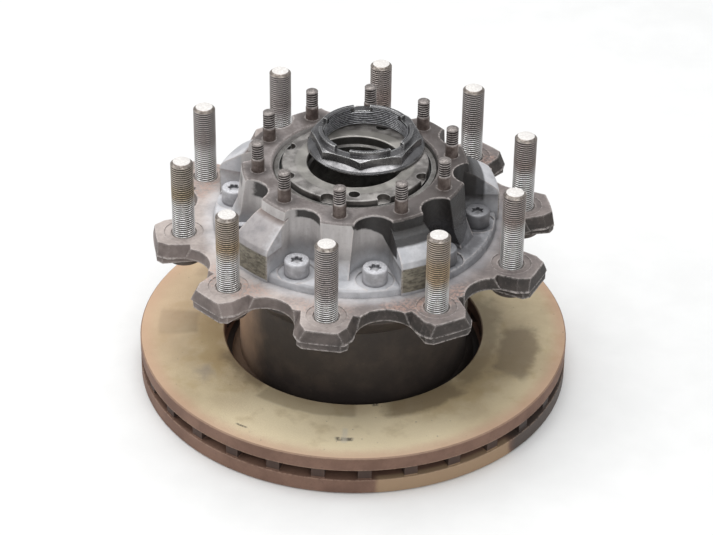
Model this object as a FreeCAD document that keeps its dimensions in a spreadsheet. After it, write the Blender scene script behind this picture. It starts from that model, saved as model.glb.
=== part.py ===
"""Heavy-truck axle wheel hub with its brake disc, standing on the disc's inner face.

The hub is a fluted iron casting with a ten-eared wheel flange. It carries a unit bearing in its
bore, ten wheel studs, ten axle-shaft studs and a deep-necked ventilated brake disc, which is held
from above by ten socket-head screws. A notched washer lies on the bearing and the axle nut lies
loose on the washer. The Z axis is the axle; Z 0 is the disc's lower face, on the floor.
"""
import FreeCAD, Part
import math
import os
import Sketcher

V = FreeCAD.Vector

# Driving dimensions in millimetres and degrees. A height is measured up from the floor, or from
# the flange's top face where its name says over or under.
SIZES = {
    # wheel flange and its stud pattern
    "flange_height": 172.0,
    "stud_count": 10,
    "clocking": 18.0,
    "wheel_pcd": 335.0,
    "web_thickness": 13.0,
    "ear_radius": 197.0,
    "ear_top_radius": 195.0,
    "ear_thickness": 20.0,
    "ear_boss_width": 48.0,
    "ear_boss_inner": 153.0,
    "ear_boss_corner": 6.0,
    "notch_radius": 29.4,
    "notch_centre": 187.0,
    "corner_start": 14.5,
    "corner_width": 21.8,
    "corner_radial": 184.0,
    "corner_back": 164.0,
    "corner_slope": 26.0,
    "seat_radius": 19.0,
    "seat_depth": 0.6,
    # wheel studs
    "wheel_stud_radius": 11.0,
    "wheel_stud_reach": 79.6,
    "wheel_shank_radius": 11.4,
    "wheel_head_radius": 18.5,
    "wheel_head_edge": 1.5,
    "wheel_head_height": 9.0,
    "stud_point": 2.2,
    "stud_recess": 1.6,
    "stud_recess_depth": 1.5,
    # fluted tower
    "tower_height": 63.6,
    "tower_radius": 109.5,
    "tower_foot_radius": 114.0,
    "tower_flare_height": 26.0,
    "tower_flare_radius": 122.0,
    "tower_edge": 1.8,
    "platform_height": 8.5,
    "platform_radius": 135.5,
    "platform_edge": 2.5,
    "flute_top_centre": 114.0,
    "flute_top_radius": 19.0,
    "flute_foot_radius": 24.5,
    # wheel pilot pads
    "pilot_radius": 140.4,
    "pilot_count": 5,
    "pilot_angle": 18.0,
    "pilot_height": 30.0,
    "pilot_shoulder": 7.0,
    "pilot_top": 38.5,
    "pilot_back_radius": 118.0,
    "pilot_back_height": 49.0,
    "pilot_root_radius": 104.0,
    "pilot_root_height": 56.0,
    # axle-shaft studs
    "axle_pcd": 189.0,
    "axle_stud_radius": 6.0,
    "axle_stud_reach": 31.6,
    "axle_collar_radius": 6.35,
    "axle_collar_height": 12.5,
    "axle_stud_depth": 20.0,
    "axle_dome": 2.4,
    # brake disc and its screws
    "screw_pcd": 240.0,
    "screw_head_radius": 12.0,
    "screw_head_height": 15.5,
    "screw_shank_radius": 8.0,
    "screw_grip": 40.0,
    "screw_recess_depth": 8.0,
    "screw_lobe_radius": 6.4,
    "screw_waist_radius": 4.8,
    "screw_seat_radius": 18.0,
    "screw_seat_depth": 1.5,
    "screw_edge": 1.0,
    "screw_hole_clearance": 0.5,
    "disc_radius": 214.0,
    "disc_thickness": 42.0,
    "upper_plate": 14.5,
    "lower_plate": 16.0,
    "disc_edge": 1.2,
    "friction_inner": 129.5,
    "vane_count": 30,
    "vane_width": 13.0,
    "vane_setback": 2.0,
    "neck_radius": 114.0,
    "neck_bore": 102.0,
    "neck_fillet": 8.0,
    "mount_radius": 147.5,
    "mount_rim": 11.0,
    "mount_thickness": 27.0,
    "mount_chamfer": 7.0,
    "mount_flare": 45.0,
    "spigot_radius": 104.5,
    "spigot_height": 10.0,
    "spigot_flare": 4.0,
    "thread_floor": 3.0,
    # hub barrel, bore and bearing
    "barrel_radius": 95.5,
    "barrel_under": 84.0,
    "bore_radius": 80.0,
    "bore_edge": 1.6,
    "bore_stop_radius": 73.0,
    "bearing_over": 59.5,
    "bearing_width": 125.0,
    "outer_ring_edge": 2.0,
    "outer_ring_lip": 73.4,
    "cup_radius": 70.0,
    "contact_angle": 10.5,
    "race_gap": 5.0,
    "seal_pocket": 12.0,
    "roller_space": 12.2,
    "roller_length": 34.0,
    "cage_margin": 2.0,
    "spindle_radius": 45.0,
    "inner_ring_radius": 60.0,
    "inner_rib": 7.0,
    "inner_ring_edge": 2.0,
    "ring_recess": 3.5,
    "roller_count": 20,
    "roller_gap": 0.12,
    "cage_thickness": 2.4,
    "seal_thickness": 4.0,
    "seal_gap": 0.4,
    "seal_recess": 1.2,
    "abs_inner": 89.5,
    "abs_radius": 97.0,
    "abs_height": 14.0,
    "abs_seat": 9.0,
    "abs_tooth_depth": 5.0,
    "abs_tooth_count": 100,
    # notched washer and axle nut
    "washer_radius": 71.0,
    "washer_bore": 46.5,
    "washer_thickness": 9.0,
    "washer_edge": 0.8,
    "washer_notch_count": 8,
    "washer_notch_angle": 31.5,
    "washer_notch_radius": 6.3,
    "washer_notch_centre": 69.6,
    "washer_notch_depth": 6.2,
    "washer_pin_radius": 5.4,
    "washer_pin_centre": 59.2,
    "washer_pin_angle": 278.0,
    "washer_pin_spread": 135.0,
    "nut_x": 5.7,
    "nut_y": 29.8,
    "nut_sides": 8,
    "nut_angle": 3.0,
    "nut_shoulder": 0.8,
    "nut_flats": 100.0,
    "nut_flange_radius": 57.0,
    "nut_flange_height": 4.2,
    "nut_flange_neck": 7.0,
    "nut_body_height": 15.2,
    "nut_height": 20.4,
    "nut_thread_radius": 41.5,
    "nut_crown_radius": 46.2,
    "nut_crown_count": 5,
    "nut_crown_gap": 21.0,
    "nut_crown_angle": 32.0,
    "nut_edge": 1.4,
    # fits
    "press_clearance": 0.02,
    "running_clearance": 0.06,
    "stud_clearance": 0.03,
}

doc = FreeCAD.newDocument("wheel_hub")
sheet = doc.addObject("Spreadsheet::Sheet", "sizes")
for row, (name, value) in enumerate(SIZES.items(), 1):
    sheet.set(f"A{row}", name)
    sheet.set(f"B{row}", str(value))
    sheet.setAlias(f"B{row}", name)
doc.recompute()


class Size:
    """A size that is known both as a number and as the sheet's expression for it."""

    def __init__(self, number, text):
        self.number = number
        self.text = text

    def __add__(self, other):
        other = size(other)
        return Size(self.number + other.number, f"({self.text} + {other.text})")

    def __sub__(self, other):
        other = size(other)
        return Size(self.number - other.number, f"({self.text} - {other.text})")

    def __mul__(self, other):
        other = size(other)
        return Size(self.number * other.number, f"{self.text} * {other.text}")

    def __truediv__(self, other):
        other = size(other)
        return Size(self.number / other.number, f"{self.text} / ({other.text})")

    def __neg__(self):
        return Size(-self.number, f"(0 - {self.text})")

    __radd__ = __add__
    __rmul__ = __mul__


def size(value):
    """The size of a name in the sheet, or a plain number as a size."""
    if isinstance(value, Size):
        return value
    if isinstance(value, str):
        return Size(float(SIZES[value]), f"sizes.{value}")
    return Size(float(value), f"({value})")


def turned(length, angle):
    """The two coordinates of a point at a length from the axis, turned by an angle in degrees."""
    length, angle = size(length), size(angle)
    across = Size(math.cos(math.radians(angle.number)), f"cos({angle.text} * 1 deg)")
    along = Size(math.sin(math.radians(angle.number)), f"sin({angle.text} * 1 deg)")
    return length * across, length * along


def bind(thing, prop, value):
    """Set a property and tie it to the sheet."""
    value = size(value)
    setattr(thing, prop, value.number)
    thing.setExpression(prop, value.text)


def new_body(name):
    body = doc.addObject("PartDesign::Body", name)
    body.Label = name
    return body


def origin_plane(body, role):
    return next(item for item in body.Origin.OriginFeatures if item.Role == role)


def new_sketch(body, name, role="XZ_Plane", height=None, turn=None):
    """A sketch on one of the body's origin planes, lifted to a height or turned about Z."""
    sketch = body.newObject("Sketcher::SketchObject", name)
    sketch.AttachmentSupport = [(origin_plane(body, role), "")]
    sketch.MapMode = "FlatFace"
    if height is not None:
        height = size(height)
        sketch.AttachmentOffset = FreeCAD.Placement(V(0, 0, height.number), FreeCAD.Rotation())
        sketch.setExpression(".AttachmentOffset.Base.z", height.text)
    if turn is not None:
        turn = FreeCAD.Rotation(V(0, 1, 0), turn)
        sketch.AttachmentOffset = FreeCAD.Placement(V(), turn)
    return sketch


def pin_vertex(sketch, line, end, point):
    """Hold one end of a line at two sizes from the sketch's origin."""
    for kind, value in (("DistanceX", size(point[0])), ("DistanceY", size(point[1]))):
        if value.number == 0:
            axis = -2 if kind == "DistanceX" else -1
            sketch.addConstraint(Sketcher.Constraint("PointOnObject", line, end, axis))
            continue
        row = sketch.addConstraint(Sketcher.Constraint(kind, -1, 1, line, end, value.number))
        sketch.setExpression(f"Constraints[{row}]", value.text)


def outline(sketch, points):
    """A closed outline of straight lines through points that are pairs of sizes."""
    first = sketch.GeometryCount
    corners = [V(size(x).number, size(y).number, 0) for x, y in points]
    count = len(corners)
    for i in range(count):
        sketch.addGeometry(Part.LineSegment(corners[i], corners[(i + 1) % count]), False)
    for i in range(count):
        after = first + (i + 1) % count
        sketch.addConstraint(Sketcher.Constraint("Coincident", first + i, 2, after, 1))
    for i in range(count):
        pin_vertex(sketch, first + i, 1, points[i])


def circle(sketch, x, y, radius):
    """A circle whose centre and radius are sizes."""
    x, y, radius = size(x), size(y), size(radius)
    item = Part.Circle(V(x.number, y.number, 0), V(0, 0, 1), radius.number)
    index = sketch.addGeometry(item, False)
    row = sketch.addConstraint(Sketcher.Constraint("Radius", index, radius.number))
    sketch.setExpression(f"Constraints[{row}]", radius.text)
    pin_vertex(sketch, index, 3, (x, y))


def revolve(body, name, points, angle=None, cut=False):
    """A ring or a groove: a profile of radii and heights turned about the body's Z axis."""
    sketch = new_sketch(body, name + "_profile")
    outline(sketch, points)
    kind = "PartDesign::Groove" if cut else "PartDesign::Revolution"
    feature = body.newObject(kind, name)
    feature.Profile = sketch
    feature.ReferenceAxis = (sketch, ["V_Axis"])
    feature.Angle = 360
    feature.Refine = False
    if angle is not None:
        feature.Midplane = True
        bind(feature, "Angle", angle)
    return feature


def drill(body, name, centre, steps, turn=None):
    """A stepped round hole about an upright line; steps are radii and heights from the top down."""
    centre = size(centre)
    sketch = new_sketch(body, name + "_profile", turn=turn)
    top = steps[0][1]
    points = [(centre, top)]
    for radius, height in steps:
        points.append((centre + radius, height))
    points.append((centre, steps[-1][1]))
    outline(sketch, points)
    hole = body.newObject("PartDesign::Groove", name)
    hole.Profile = sketch
    line = Part.LineSegment(V(centre.number, 0, 0), V(centre.number, size(top).number, 0))
    axis = sketch.addGeometry(line, True)
    pin_vertex(sketch, axis, 1, (centre, 0))
    pin_vertex(sketch, axis, 2, (centre, top))
    hole.ReferenceAxis = (sketch, ["Axis0"])
    hole.Angle = 360
    hole.Refine = False
    return hole


def extrude(body, name, height, length, draw, cut=False, taper=None):
    """A pad or a pocket that rises from a level sketch by a length."""
    sketch = new_sketch(body, name + "_profile", "XY_Plane", height)
    draw(sketch)
    feature = body.newObject("PartDesign::Pocket" if cut else "PartDesign::Pad", name)
    feature.Profile = sketch
    feature.Refine = False
    bind(feature, "Length", length)
    if taper is not None:
        bind(feature, "TaperAngle", taper)
    return feature


def around(body, name, features, count, last=False):
    """Features repeated evenly about the body's Z axis; the last pattern merges split faces."""
    pattern = body.newObject("PartDesign::PolarPattern", name)
    pattern.Originals = features
    pattern.Axis = (origin_plane(body, "Z_Axis"), [""])
    pattern.Angle = 360
    pattern.Occurrences = int(size(count).number)
    pattern.setExpression("Occurrences", size(count).text)
    pattern.Refine = last
    body.Tip = pattern
    return pattern


def place(body, x, y, height, turn=0.0):
    """Move a body to a point, turned about Z, and tie the point to the sheet."""
    x, y, height = size(x), size(y), size(height)
    spot = V(x.number, y.number, height.number)
    body.Placement = FreeCAD.Placement(spot, FreeCAD.Rotation(V(0, 0, 1), turn))
    for axis, value in (("x", x), ("y", y), ("z", height)):
        body.setExpression(f".Placement.Base.{axis}", value.text)


# Heights that several pieces share.
flange_top = size("flange_height")
web_under = flange_top - "web_thickness"
ear_under = flange_top - "ear_thickness"
tower_top = flange_top + "tower_height"
platform_top = flange_top + "platform_height"
screw_seat = platform_top - "screw_seat_depth"
barrel_end = flange_top - "barrel_under"
bearing_top = flange_top + "bearing_over"
bearing_end = bearing_top - "bearing_width"
washer_under = bearing_top - "ring_recess"
washer_top = washer_under + "washer_thickness"
stud_step = 360.0 / SIZES["stud_count"]
CLOCKING = SIZES["clocking"]


def make_hub():
    """The hub casting, drawn with one wheel stud on its X axis and turned into place."""
    body = new_body("hub_casting")
    bore = size("bore_radius") + "press_clearance"
    revolve(body, "shell", [
        (bore, tower_top - "bore_edge"),
        (bore, bearing_end),
        ("bore_stop_radius", bearing_end),
        ("bore_stop_radius", barrel_end),
        (size("abs_inner") - "press_clearance", barrel_end),
        (size("abs_inner") - "press_clearance", barrel_end + "abs_seat"),
        ("barrel_radius", barrel_end + "abs_seat"),
        ("barrel_radius", web_under - "spigot_height" - "spigot_flare"),
        (size("spigot_radius") - "running_clearance", web_under - "spigot_height"),
        (size("spigot_radius") - "running_clearance", web_under),
        ("ear_radius", web_under),
        ("ear_top_radius", flange_top),
        (size("platform_radius") + "platform_edge", flange_top),
        (size("platform_radius") + size("platform_edge") / 1.5, platform_top - "platform_edge"),
        ("platform_radius", platform_top),
        ("tower_flare_radius", platform_top),
        ("tower_foot_radius", flange_top + "tower_flare_height"),
        ("tower_radius", tower_top - "tower_edge"),
        (size("tower_radius") - "tower_edge", tower_top),
        (bore + "bore_edge", tower_top),
    ])
    make_ears(body)
    make_holes(body)
    make_flutes(body)
    make_pilots(body)
    place(body, 0, 0, 0, CLOCKING)
    return body


def make_ears(body):
    """Round notches part the flange into ears, thicker below, whose upper corners slope."""
    def boss(sketch):
        half = size("ear_boss_width") / 2
        outline(sketch, [
            ("ear_boss_inner", -half),
            (size("ear_radius") - "ear_boss_corner", -half),
            (size("ear_radius") - 1, -half + "ear_boss_corner"),
            (size("ear_radius") - 1, half - "ear_boss_corner"),
            (size("ear_radius") - "ear_boss_corner", half),
            ("ear_boss_inner", half),
        ])

    pad = extrude(body, "ear_boss", ear_under, size("ear_thickness") - "web_thickness" + 1, boss)
    around(body, "ear_bosses", [pad], "stud_count")
    notch_x, notch_y = turned("notch_centre", size(180.0) / "stud_count")
    notch = extrude(body, "ear_notch", flange_top + 1, size("ear_thickness") + 2,
                    lambda sketch: circle(sketch, notch_x, notch_y, "notch_radius"), cut=True)
    around(body, "ear_notches", [notch], "stud_count")

    def corner(sketch):
        beyond = size("ear_radius") + 12
        side = size("corner_width") + 18
        for sign in (1, -1):
            start, wide, far = (size(item) * sign for item in ("corner_start", "corner_width", side))
            outline(sketch, [
                (size("ear_top_radius") + 0.5, start),
                ("corner_radial", wide),
                ("corner_back", wide + sign * 2.5),
                ("corner_back", far),
                (beyond, far),
                (beyond, start),
            ])

    cut = extrude(body, "ear_corner", flange_top, "web_thickness", corner, cut=True,
                  taper=-size("corner_slope"))
    around(body, "ear_corners", [cut], "stud_count")


def make_holes(body):
    """Stepped holes for the wheel studs and disc screws, and sockets for the axle-shaft studs."""
    shank = size("wheel_shank_radius") + "stud_clearance"
    recess = size("wheel_stud_radius") + "stud_recess"
    seat_floor = flange_top - "seat_depth"
    recess_floor = seat_floor - "stud_recess_depth"
    wheel = drill(body, "wheel_stud_hole", size("wheel_pcd") / 2, [
        ("seat_radius", flange_top + 1), ("seat_radius", seat_floor),
        (recess, seat_floor), (recess, recess_floor),
        (shank, recess_floor), (shank, ear_under - 1)])
    socket = size("axle_collar_radius") + "stud_clearance"
    axle = drill(body, "axle_stud_hole", size("axle_pcd") / 2, [
        (socket, tower_top + 1), (socket, tower_top - "axle_stud_depth")])
    hole = size("screw_shank_radius") + "screw_hole_clearance"
    screw = drill(body, "screw_hole", size("screw_pcd") / 2, [
        ("screw_seat_radius", platform_top + 1), ("screw_seat_radius", screw_seat),
        (hole, screw_seat), (hole, web_under - 1)], turn=180.0 / SIZES["stud_count"])
    around(body, "holes", [wheel, axle, screw], "stud_count")


def make_flutes(body):
    """Ten flutes between the lobes, each widening down to the seat of a disc screw."""
    half_step = size(180.0) / "stud_count"
    sketches = []
    levels = (("flute_foot", platform_top, size("screw_pcd") / 2, "flute_foot_radius"),
              ("flute_mouth", tower_top, "flute_top_centre", "flute_top_radius"))
    for name, height, centre, radius in levels:
        sketch = new_sketch(body, name, "XY_Plane", height)
        x, y = turned(centre, half_step)
        circle(sketch, x, y, radius)
        sketches.append(sketch)
    flute = body.newObject("PartDesign::SubtractiveLoft", "flute")
    flute.Profile = sketches[0]
    flute.Sections = [sketches[1]]
    flute.Ruled = True
    flute.Refine = False
    around(body, "flutes", [flute], "stud_count")


def make_pilots(body):
    """Pads at the foot of every other lobe, turned outside to the wheel's centring bore."""
    pad = revolve(body, "pilot_pad", [
        ("pilot_root_radius", flange_top),
        ("pilot_radius", flange_top),
        ("pilot_radius", flange_top + "pilot_height"),
        (size("pilot_radius") - 2, flange_top + "pilot_height" + 4.5),
        (size("pilot_radius") - "pilot_shoulder", flange_top + "pilot_top"),
        ("pilot_back_radius", flange_top + "pilot_back_height"),
        ("pilot_root_radius", flange_top + "pilot_root_height"),
    ], angle="pilot_angle")
    around(body, "pilot_pads", [pad], "pilot_count", last=True)


def make_wheel_stud(number):
    """A headed wheel stud, pressed up through its ear. Its own origin is under the ear."""
    body = new_body(f"wheel_stud_{number + 1:02d}")
    grip = size("ear_thickness") - "seat_depth" - "stud_recess_depth"
    end = size("ear_thickness") + "wheel_stud_reach"
    head_end = -size("wheel_head_height")
    revolve(body, "turned", [
        (0, head_end),
        (size("wheel_head_radius") - "wheel_head_edge", head_end),
        ("wheel_head_radius", head_end + "wheel_head_edge"),
        ("wheel_head_radius", 0),
        ("wheel_shank_radius", 0),
        ("wheel_shank_radius", grip - "stud_point"),
        ("wheel_stud_radius", grip),
        ("wheel_stud_radius", end - "stud_point"),
        (size("wheel_stud_radius") - "stud_point", end),
        (0, end),
    ])
    x, y = turned(size("wheel_pcd") / 2, size("clocking") + size(number) * stud_step)
    place(body, x, y, ear_under)
    return body


def make_axle_stud(number):
    """A short stud in the tower's top face, plain below, threaded above, with a domed end."""
    body = new_body(f"axle_stud_{number + 1:02d}")
    revolve(body, "turned", [
        (0, -size("axle_stud_depth")),
        ("axle_collar_radius", -size("axle_stud_depth")),
        ("axle_collar_radius", "axle_collar_height"),
        ("axle_stud_radius", size("axle_collar_height") + "axle_dome"),
        ("axle_stud_radius", size("axle_stud_reach") - "axle_dome"),
        (size("axle_stud_radius") - size("axle_dome") / 2, size("axle_stud_reach") - size("axle_dome") / 4),
        (0, "axle_stud_reach"),
    ])
    x, y = turned(size("axle_pcd") / 2, size("clocking") + size(number) * stud_step)
    place(body, x, y, tower_top)
    return body


def make_disc_screw(number):
    """A socket-head screw with a six-lobed recess, seated in its flute."""
    body = new_body(f"disc_screw_{number + 1:02d}")
    tip = -size("screw_grip")
    revolve(body, "turned", [
        (0, tip),
        (size("screw_shank_radius") - "screw_edge", tip),
        ("screw_shank_radius", tip + "screw_edge"),
        ("screw_shank_radius", 0),
        ("screw_head_radius", 0),
        ("screw_head_radius", size("screw_head_height") - "screw_edge"),
        (size("screw_head_radius") - "screw_edge", "screw_head_height"),
        (0, "screw_head_height"),
    ])

    def lobes(sketch):
        radii = ("screw_lobe_radius", "screw_waist_radius")
        outline(sketch, [turned(radii[i % 2], 30 * i) for i in range(12)])

    recess = extrude(body, "recess", "screw_head_height", "screw_recess_depth", lobes, cut=True)
    body.Tip = recess
    x, y = turned(size("screw_pcd") / 2, size("clocking") + (size(number) + 0.5) * stud_step)
    place(body, x, y, screw_seat, 17.0 * number)
    return body


def make_disc():
    """The ventilated disc: a deep neck on the lower plate, vanes, and the upper friction plate."""
    body = new_body("brake_disc")
    lower_top = size("lower_plate")
    upper_under = size("disc_thickness") - "upper_plate"
    neck_top = web_under - "mount_flare"
    rim_under = web_under - "mount_rim"
    revolve(body, "neck_and_lower_plate", [
        ("neck_bore", 0),
        (size("disc_radius") - "disc_edge", 0),
        ("disc_radius", "disc_edge"),
        ("disc_radius", lower_top),
        (size("neck_radius") + "neck_fillet", lower_top),
        ("neck_radius", lower_top + "neck_fillet"),
        ("neck_radius", neck_top),
        (size("mount_radius") - "mount_chamfer", rim_under - "mount_chamfer"),
        ("mount_radius", rim_under),
        ("mount_radius", web_under),
        ("spigot_radius", web_under),
        ("spigot_radius", web_under - "mount_thickness"),
        ("neck_bore", web_under - "mount_thickness"),
    ])

    def vane(sketch):
        inner, outer = size("friction_inner") + "vane_setback", size("disc_radius") - "vane_setback"
        wide, narrow = size("vane_width") / 2, size("vane_width") / 3
        outline(sketch, [(inner, -narrow), (outer, -wide), (outer, wide), (inner, narrow)])

    pad = extrude(body, "vane", lower_top, upper_under - lower_top, vane)
    around(body, "vanes", [pad], "vane_count")
    revolve(body, "upper_plate", [
        ("friction_inner", upper_under),
        ("disc_radius", upper_under),
        ("disc_radius", size("disc_thickness") - "disc_edge"),
        (size("disc_radius") - "disc_edge", "disc_thickness"),
        (size("friction_inner") + "disc_edge", "disc_thickness"),
        ("friction_inner", size("disc_thickness") - "disc_edge"),
    ])
    thread = size("screw_shank_radius") + "stud_clearance"
    hole = drill(body, "screw_thread", size("screw_pcd") / 2, [
        (thread, web_under + 1), (thread, web_under - "mount_thickness" + "thread_floor")],
        turn=180.0 / SIZES["stud_count"])
    around(body, "screw_threads", [hole], "stud_count", last=True)
    place(body, 0, 0, 0, CLOCKING)
    return body


# Lines of the two roller rows. The races run out from the middle of the bearing to its ends.
bearing_middle = bearing_end + size("bearing_width") / 2
race_start = size("race_gap")
race_end = size("bearing_width") / 2 - "seal_pocket"
slope_sine = turned(1, "contact_angle")[1]
slope_cosine = turned(1, "contact_angle")[0]
race_slope = slope_sine / slope_cosine


def cup_radius(out):
    """Radius of the outer raceway at a distance out from the middle."""
    return size("cup_radius") - (race_end - out) * race_slope


def cone_radius(out):
    """Radius of the inner raceway at a distance out from the middle."""
    return cup_radius(out) - "roller_space"


def make_outer_ring():
    """The outer ring, whose two raceways widen towards its ends, with pockets for the seals."""
    body = new_body("bearing_outer_ring")
    half = size("bearing_width") / 2
    edge = size("outer_ring_edge")
    revolve(body, "ring", [
        ("bore_radius", edge - half),
        (size("bore_radius") - edge, -half),
        ("outer_ring_lip", -half),
        ("outer_ring_lip", -race_end),
        ("cup_radius", -race_end),
        (cup_radius(race_start), -race_start),
        (cup_radius(race_start), race_start),
        ("cup_radius", race_end),
        ("outer_ring_lip", race_end),
        ("outer_ring_lip", half),
        (size("bore_radius") - edge, half),
        ("bore_radius", half - edge),
    ])
    place(body, 0, 0, bearing_middle)
    return body


def make_inner_ring(name, side):
    """One of the two inner rings, with a rib at its outer end; side is 1 above and -1 below."""
    body = new_body(name)
    rib = race_end - "inner_rib"
    end = size("bearing_width") / 2 - "ring_recess"
    edge = size("inner_ring_edge")
    points = [
        ("spindle_radius", 0),
        (cone_radius(race_start), 0),
        (cone_radius(race_start), race_start),
        (cone_radius(rib), rib),
        ("inner_ring_radius", rib),
        ("inner_ring_radius", end - edge),
        (size("inner_ring_radius") - edge, end),
        (size("spindle_radius") + edge, end),
        ("spindle_radius", end - edge),
    ]
    revolve(body, "ring", [(radius, size(height) * side) for radius, height in points])
    place(body, 0, 0, bearing_middle)
    return body


def make_roller_row(name, side):
    """A row of rollers held in its cage, a thin cone through the rollers' centre lines."""
    body = new_body(name)
    centre = (race_end - "inner_rib" + race_start) / 2
    reach = size("roller_length") / 2
    middle = cup_radius(centre) - size("roller_space") / 2
    thick = size("cage_thickness") / 2
    over = reach + "cage_margin"

    def along(distance, off):
        """A point at a distance along the roller's centre line and off it."""
        x = middle + distance * slope_sine + off * slope_cosine
        z = centre + distance * slope_cosine - off * slope_sine
        return x, z * side

    revolve(body, "cage", [along(-over, -thick), along(-over, thick), along(over, thick), along(over, -thick)])
    radius = (size("roller_space") * slope_cosine) / 2 - "roller_gap"
    roller = body.newObject("PartDesign::Revolution", "roller")
    sketch = new_sketch(body, "roller_profile")
    outline(sketch, [along(-reach, 0), along(-reach, radius), along(reach, radius), along(reach, 0)])
    roller.Profile = sketch
    roller.ReferenceAxis = (sketch, ["Edge4"])
    roller.Angle = 360
    roller.Refine = False
    around(body, "rollers", [roller], "roller_count")
    place(body, 0, 0, bearing_middle)
    return body


def make_seal(name, side):
    """A seal ring in the outer ring's pocket, with a small gap to the inner ring."""
    body = new_body(name)
    outer_face = size("bearing_width") / 2 - "ring_recess" - "seal_recess"
    inner_face = outer_face - "seal_thickness"
    lip = size("inner_ring_radius") + "seal_gap"
    case = size("outer_ring_lip") - "press_clearance"
    revolve(body, "ring", [
        (lip, inner_face * side), (case, inner_face * side),
        (case, outer_face * side), (lip, outer_face * side)])
    place(body, 0, 0, bearing_middle)
    return body


def make_abs_ring():
    """The toothed ring on the end of the hub's barrel; its teeth point down."""
    body = new_body("abs_tone_ring")
    revolve(body, "ring", [
        ("abs_inner", 0), ("abs_radius", 0), ("abs_radius", "abs_height"), ("abs_inner", "abs_height")])

    def gap(sketch):
        half = size("abs_radius") * (math.pi / 2) / "abs_tooth_count"
        inner, outer = size("abs_inner") - 1, size("abs_radius") + 1
        outline(sketch, [(inner, -half), (outer, -half), (outer, half), (inner, half)])

    slot = extrude(body, "slot", "abs_tooth_depth", "abs_tooth_depth", gap, cut=True)
    around(body, "slots", [slot], "abs_tooth_count")
    place(body, 0, 0, barrel_end + "abs_seat" - "abs_height")
    return body


def make_washer():
    """The notched washer on the inner ring: blind notches round the rim and two pin holes."""
    body = new_body("notched_washer")
    rim, edge = size("washer_radius"), size("washer_edge")
    revolve(body, "ring", [
        (size("washer_bore") + edge, 0), (rim - edge, 0), (rim, edge),
        (rim, size("washer_thickness") - edge), (rim - edge, "washer_thickness"),
        (size("washer_bore") + edge, "washer_thickness"),
        ("washer_bore", size("washer_thickness") - edge), ("washer_bore", edge)])
    pins = []
    for i in range(2):
        angle = size("washer_pin_angle") - "washer_notch_angle" - size("washer_pin_spread") * i
        x, y = turned("washer_pin_centre", angle)
        pins.append(extrude(body, f"pin_hole_{i + 1}", size("washer_thickness") + 1,
                            size("washer_thickness") + 2,
                            lambda sketch: circle(sketch, x, y, "washer_pin_radius"), cut=True))
    notch = extrude(body, "notch", "washer_thickness", "washer_notch_depth",
                    lambda sketch: circle(sketch, "washer_notch_centre", 0, "washer_notch_radius"), cut=True)
    around(body, "notches", [notch], "washer_notch_count")
    place(body, 0, 0, washer_under, SIZES["washer_notch_angle"])
    return body


def make_nut():
    """The axle nut: a flanged octagon with a castellated crown, lying loose on the washer."""
    body = new_body("axle_nut")
    bore, edge = size("nut_thread_radius"), size("nut_edge")
    body_top = size("nut_body_height")
    revolve(body, "core", [
        (bore + edge, 0),
        (size("nut_flange_radius") - edge, 0),
        ("nut_flange_radius", edge),
        ("nut_flange_radius", size("nut_flange_height") - edge),
        (size("nut_flange_radius") - edge, "nut_flange_height"),
        (size("nut_flats") / 2, "nut_flange_neck"),
        (size("nut_flats") / 2, body_top - edge),
        ("nut_crown_radius", body_top - edge),
        ("nut_crown_radius", size("nut_height") - edge / 2),
        (size("nut_crown_radius") - edge / 2, "nut_height"),
        (bore + edge, "nut_height"),
        (bore, size("nut_height") - edge),
        (bore, edge),
    ])

    def octagon(sketch):
        corner = size("nut_flats") / 2 / turned(1, size(180.0) / "nut_sides")[0]
        outline(sketch, [turned(corner, size(360.0) / "nut_sides" * i) for i in range(SIZES["nut_sides"])])
        circle(sketch, 0, 0, bore + edge)

    extrude(body, "octagon", "nut_flange_height", body_top - "nut_flange_height", octagon)
    shoulder = size("nut_flats") / 2 + "nut_shoulder"
    revolve(body, "shoulder", [
        (shoulder, body_top + 1), (shoulder, body_top),
        (shoulder + 6, body_top - 3.5), (shoulder + 6, body_top + 1)], cut=True)

    def gap(sketch):
        angle = size("nut_crown_angle") - "nut_angle"
        half = size("nut_crown_gap") / 2
        inner, outer = bore - 3, size("nut_crown_radius") + 3
        outline(sketch, [
            turned(inner, angle - half), turned(outer, angle - half),
            turned(outer, angle + half), turned(inner, angle + half)])

    cut = extrude(body, "crown_gap", size("nut_height") + 1, size("nut_height") + 1 - body_top, gap, cut=True)
    around(body, "crown_gaps", [cut], "nut_crown_count", last=True)
    place(body, "nut_x", "nut_y", washer_top, SIZES["nut_angle"])
    return body


def check(parts):
    """Stop if any object failed or any piece is not one sound solid."""
    for item in doc.Objects:
        if "Invalid" in item.State or "Error" in item.State:
            raise RuntimeError(f"{item.Name} failed: {item.State}")
    for body in parts:
        shape = body.Shape
        if shape.isNull() or not shape.isValid() or len(shape.Solids) != 1:
            raise RuntimeError(f"{body.Label} is not one sound solid")


numbers = range(SIZES["stud_count"])
parts = [make_hub(), make_disc()]
parts += [make_wheel_stud(number) for number in numbers]
parts += [make_axle_stud(number) for number in numbers]
parts += [make_disc_screw(number) for number in numbers]
parts += [
    make_outer_ring(),
    make_inner_ring("inner_ring_outboard", 1),
    make_inner_ring("inner_ring_inboard", -1),
    make_roller_row("roller_row_outboard", 1),
    make_roller_row("roller_row_inboard", -1),
    make_seal("seal_outboard", 1),
    make_seal("seal_inboard", -1),
    make_abs_ring(),
    make_washer(),
    make_nut(),
]
doc.recompute()
check(parts)

os.makedirs("parts", exist_ok=True)
for body in parts:
    body.Shape.exportStep(f"parts/{body.Label}.step")
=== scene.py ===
import math
import bmesh
import bpy
from mathutils import Matrix, Vector


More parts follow.
